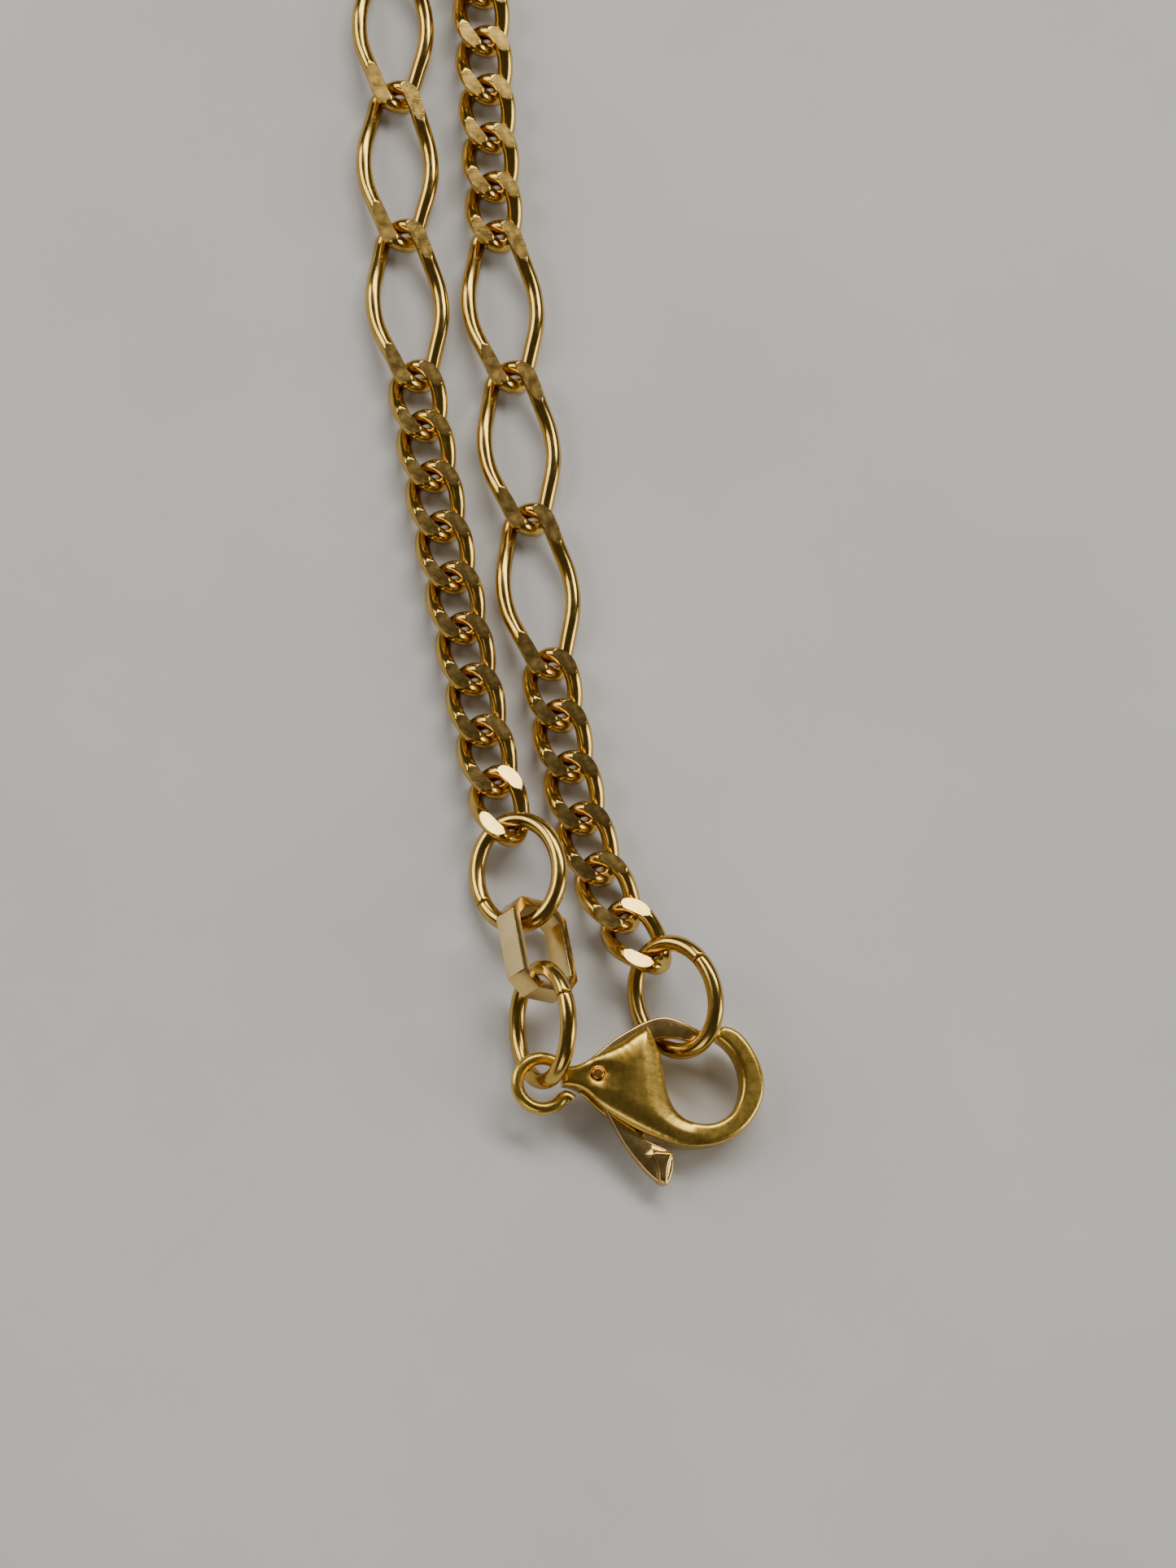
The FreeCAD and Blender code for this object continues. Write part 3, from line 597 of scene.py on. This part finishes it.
def area(name, offset, height, aim, sx, sy, watts, color):
    l = bpy.data.lights.new(name, "AREA")
    l.shape, l.size, l.size_y, l.energy, l.color = "RECTANGLE", sx, sy, watts, color
    ob = bpy.data.objects.new(name, l)
    bpy.context.scene.collection.objects.link(ob)
    p = FOCUS + offset + Vector((0, 0, height))
    ob.location = p
    z = (p - (FOCUS + aim)).normalized()
    x = RIGHT - z * RIGHT.dot(z)
    x.normalize()
    y = z.cross(x)
    ob.rotation_mode = "QUATERNION"
    ob.rotation_quaternion = Matrix((x, y, z)).transposed().to_quaternion()
    return ob


area("window_far", E * 0.51, 0.60, E * 0.03, 0.9, 0.24, 5.0, (1.0, 0.97, 0.93))
area("fill_left", RIGHT * -0.75 + E * 0.05, 0.42, Vector(), 0.5, 0.5, 3.0, (1.0, 0.98, 0.95))
area("fill_right", RIGHT * 0.80 + E * 0.15, 0.30, Vector(), 0.35, 0.5, 2.6, (1.0, 0.96, 0.90))
area("fill_near", E * -0.75, 0.35, Vector(), 0.6, 0.3, 1.0, (1.0, 0.97, 0.93))

world = bpy.data.worlds.new("studio")
bpy.context.scene.world = world
world.use_nodes = True
bg = world.node_tree.nodes["Background"]
bg.inputs["Color"].default_value = (0.30, 0.27, 0.24, 1)
bg.inputs["Strength"].default_value = 0.20

th = math.radians(21.0)
dirv = np.array([math.sin(th) * E.x, math.sin(th) * E.y, -math.cos(th)])
k = np.array([E.y, -E.x, 0.0])
K = np.array([[0, -k[2], k[1]], [k[2], 0, -k[0]], [-k[1], k[0], 0]])
R = np.eye(3) + math.sin(th) * K + (1 - math.cos(th)) * K @ K
cam = bpy.data.cameras.new("camera")
cam_ob = bpy.data.objects.new("camera", cam)
bpy.context.scene.collection.objects.link(cam_ob)
M = Matrix.Identity(4)
C = -300.0 * dirv + SHIFT
for i in range(3):
    M[i][0], M[i][1], M[i][2], M[i][3] = float(R[i][0]), float(R[i][1]), float(-dirv[i]), float(C[i]) * MM
cam_ob.matrix_world = M
cam.sensor_fit = "VERTICAL"
cam.sensor_width = cam.sensor_height = 36.0
cam.lens = 7710.0 / 1927.0 * 36.0
cam.clip_start, cam.clip_end = 0.01, 20.0
cam.dof.use_dof = False
bpy.context.scene.camera = cam_ob
